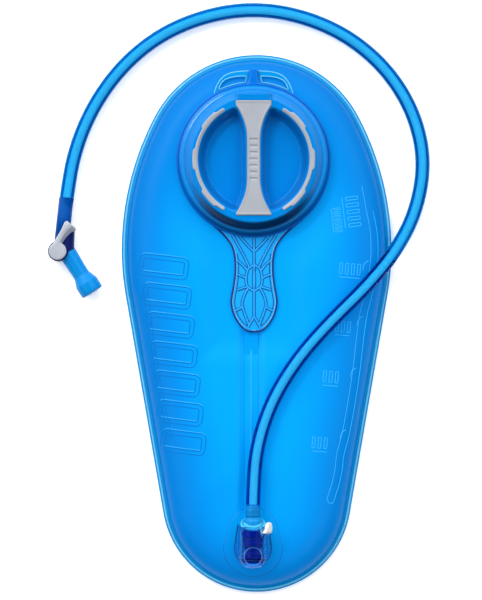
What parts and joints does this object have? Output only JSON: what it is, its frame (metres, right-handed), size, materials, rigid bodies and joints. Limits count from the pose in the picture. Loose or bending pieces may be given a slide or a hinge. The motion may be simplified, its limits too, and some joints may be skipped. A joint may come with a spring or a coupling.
{
  "type": "hydration bladder",
  "caption": "Flat three-litre water bag with a large screw cap and grip bar, clear filling handle, quick-release hose and bite valve with shut-off lever",
  "frame": {"origin": "on the resting plane, under the centre of the bag", "axes": "+X to the right of the bag's front, +Y from the hose port towards the filling cap, +Z out of the bag's front"},
  "size_m": [0.2978, 0.4608, 0.0472],
  "materials": {
    "bag_film": "clear blue TPU film, semi-gloss",
    "clear_plastic": "clear water-tinted plastic, glossy",
    "cap_plastic": "deep blue moulded plastic, satin gloss",
    "grip_rubber": "grey soft-touch overmould",
    "tether_plastic": "flexible deep blue plastic",
    "seal_rubber": "translucent silicone",
    "button_plastic": "off-white satin plastic",
    "spring_steel": "stainless wire",
    "plug_plastic": "dark blue moulded plastic",
    "hose_tpu": "clear blue TPU hose",
    "valve_plastic": "navy satin plastic",
    "bite_silicone": "blue silicone, satin",
    "lever_plastic": "light grey satin plastic"
  },
  "bodies": {
    "bladder": {"film_front": "bag_film", "film_back": "bag_film", "perimeter_seam": "bag_film", "baffle": "bag_film", "collar_flange": "clear_plastic", "collar_neck": "clear_plastic", "handle_plate": "clear_plastic", "handle_ribs": "clear_plastic", "tether_clip": "tether_plastic", "exit_pad": "clear_plastic", "exit_socket": "clear_plastic", "button_spring": "spring_steel", "poppet_spring": "spring_steel"},
    "tether": {"tether_ring": "tether_plastic", "tether_strap": "tether_plastic"},
    "cap": {"cap_body": "cap_plastic", "cap_grip_bar": "grip_rubber", "cap_grip_left": "grip_rubber", "cap_grip_right": "grip_rubber", "cap_gasket": "seal_rubber"},
    "button": {"release_button": "button_plastic"},
    "poppet": {"poppet": "plug_plastic", "poppet_seal": "seal_rubber"},
    "hose": {"plug_body": "plug_plastic", "plug_o_ring_inner": "seal_rubber", "plug_o_ring_outer": "seal_rubber", "plug_collar": "clear_plastic", "drink_tube": "hose_tpu", "valve_elbow": "valve_plastic", "bite_valve": "bite_silicone"},
    "lever": {"valve_lever": "lever_plastic", "valve_rotor": "valve_plastic", "rotor_seal_lower": "seal_rubber", "rotor_seal_upper": "seal_rubber"}
  },
  "joints": [
    {"name": "cap_lift", "type": "slide", "parent": "bladder", "child": "tether", "axis": [0, 0, 1], "range_m": [0, 0.01001], "deforming": ["tether_strap"]},
    {"name": "cap_turn", "type": "hinge", "parent": "tether", "child": "cap", "pos_m": [-0.0025, 0.127, 0.03], "axis": [0, 0, 1], "range_deg": [0, 360]},
    {"name": "button_press", "type": "slide", "parent": "bladder", "child": "button", "axis": [-0.8192, 0, -0.5736], "range_m": [0, 0.0012], "stiffness_N_per_m": 500, "springref_m": -0.001, "deforming": ["button_spring"]},
    {"name": "plug_slide", "type": "slide", "parent": "bladder", "child": "hose", "axis": [0, 1, 0], "range_m": [0, 0.024]},
    {"name": "poppet_close", "type": "slide", "parent": "bladder", "child": "poppet", "axis": [0, 1, 0], "range_m": [0, 0.00201], "deforming": ["poppet_spring"]},
    {"name": "valve_turn", "type": "hinge", "parent": "hose", "child": "lever", "pos_m": [-0.1545, 0.0562, 0.009], "axis": [0, 0, 1], "range_deg": [0, 90]}
  ],
  "couplings": [
    {"joint": "cap_lift", "follows": "cap_turn", "m_per_rad": 0.0015915},
    {"joint": "poppet_close", "follows": "plug_slide", "ratio": 0.083333}
  ]
}
